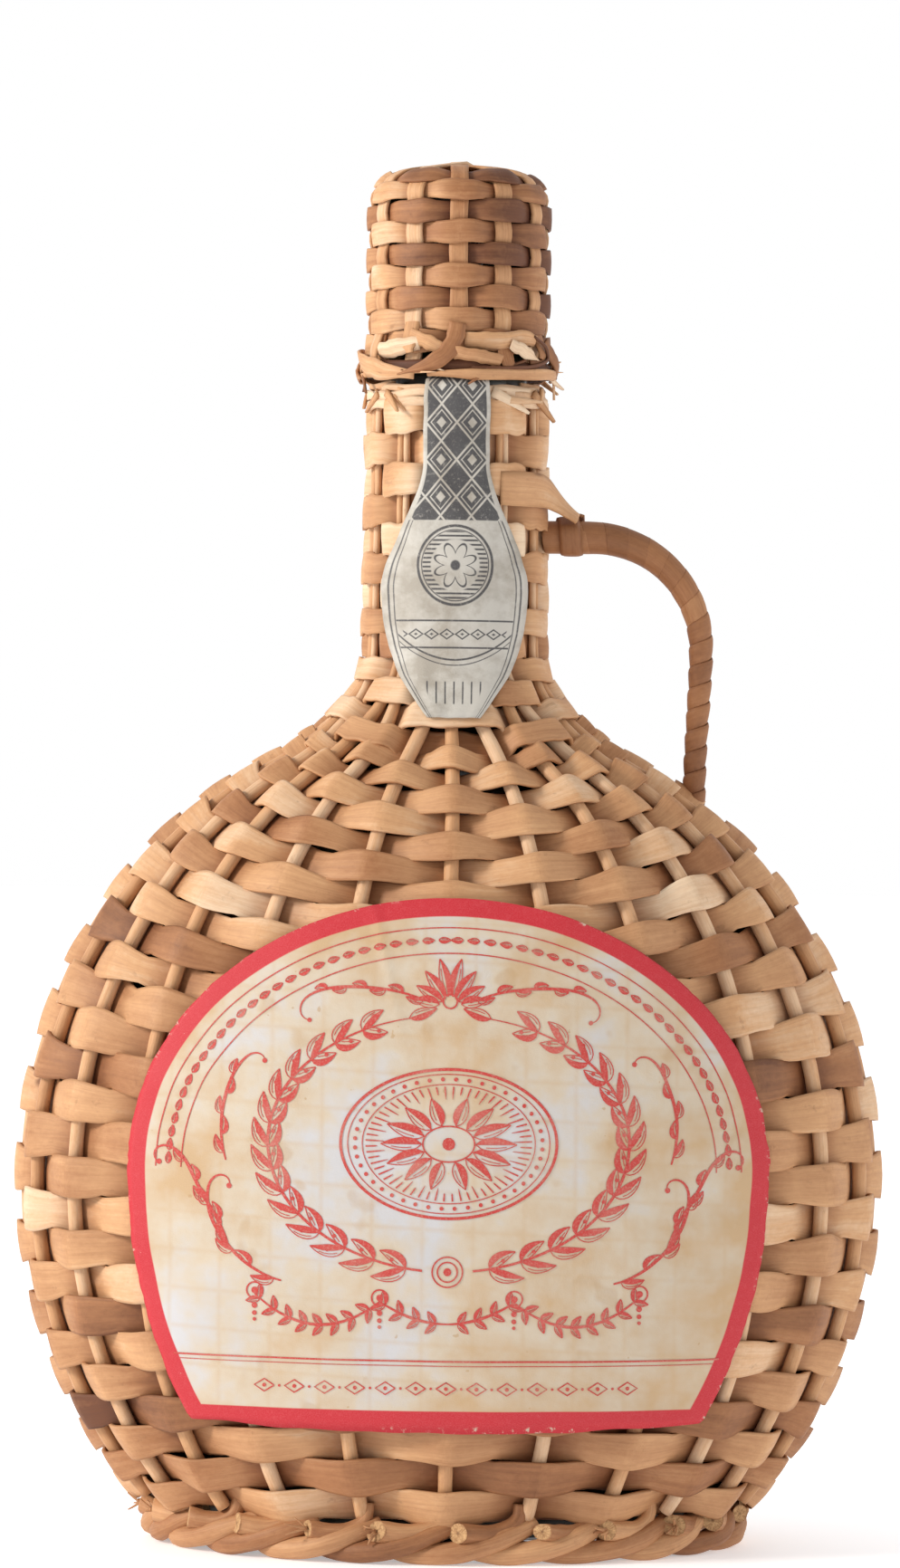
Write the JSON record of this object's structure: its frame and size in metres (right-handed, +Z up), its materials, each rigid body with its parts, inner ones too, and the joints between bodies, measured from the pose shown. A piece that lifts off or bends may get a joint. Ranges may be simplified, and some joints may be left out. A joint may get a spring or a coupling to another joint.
{
  "type": "wicker covered wine flask",
  "caption": "Flat oval glass wine flask in a woven willow jacket, with a cork, a lift-off woven cap, a wrapped side handle and paper labels.",
  "frame": {"origin": "middle of the flask's footprint, on the table", "axes": "+Z up through the neck, -Y towards the front label, +X towards the handle"},
  "size_m": [0.156, 0.0875, 0.2475],
  "materials": {
    "glass": "gloss",
    "cork": "matte",
    "willow_rods": "satin",
    "willow_skein": "satin",
    "border_rods": "satin",
    "cap_skein": "satin",
    "handle_skein": "satin",
    "label_paper": "matte",
    "seal_paper": "matte"
  },
  "bodies": {
    "jacket": {"glass_bottle": "glass", "body_stakes": "willow_rods", "base_border": "border_rods", "neck_rim": "willow_skein", "floor_long_sticks": "border_rods", "floor_cross_sticks": "border_rods", "neck_strip_01": "willow_skein", "neck_strip_02": "willow_skein", "neck_strip_03": "willow_skein", "neck_strip_04": "willow_skein", "neck_strip_05": "willow_skein", "neck_strip_06": "willow_skein", "neck_strip_07": "willow_skein", "neck_strip_08": "willow_skein", "neck_strip_09": "willow_skein", "neck_strip_10": "willow_skein", "neck_strip_11": "willow_skein", "neck_strip_12": "willow_skein", "neck_strip_13": "willow_skein", "body_strip_01": "willow_skein", "body_strip_02": "willow_skein", "body_strip_03": "willow_skein", "body_strip_04": "willow_skein", "body_strip_05": "willow_skein", "body_strip_06": "willow_skein", "body_strip_07": "willow_skein", "body_strip_08": "willow_skein", "body_strip_09": "willow_skein", "body_strip_10": "willow_skein", "body_strip_11": "willow_skein", "body_strip_12": "willow_skein", "body_strip_13": "willow_skein", "body_strip_14": "willow_skein", "body_strip_15": "willow_skein", "body_strip_16": "willow_skein", "body_strip_17": "willow_skein", "body_strip_18": "willow_skein", "body_strip_19": "willow_skein", "body_strip_20": "willow_skein", "body_strip_21": "willow_skein", "body_strip_22": "willow_skein", "body_strip_23": "willow_skein", "body_strip_24": "willow_skein", "body_strip_25": "willow_skein", "body_strip_26": "willow_skein", "body_strip_27": "willow_skein", "handle_core": "willow_rods", "handle_wrap": "handle_skein", "handle_collar": "handle_skein", "handle_tie": "willow_skein", "front_label": "label_paper", "neck_seal": "seal_paper"},
    "cap": {"cap_stakes": "cap_skein", "cap_strips": "cap_skein", "cap_rim": "cap_skein"},
    "cork": {"cork": "cork"}
  },
  "joints": [
    {"name": "cap_lift", "type": "slide", "parent": "jacket", "child": "cap", "axis": [0, 0, 1], "range_m": [0, 0.08]},
    {"name": "cork_pull", "type": "slide", "parent": "jacket", "child": "cork", "axis": [0, 0, 1], "range_m": [0, 0.04]}
  ],
  "couplings": [
    {"joint": "cork_pull", "follows": "cap_lift", "ratio": 0.5}
  ]
}
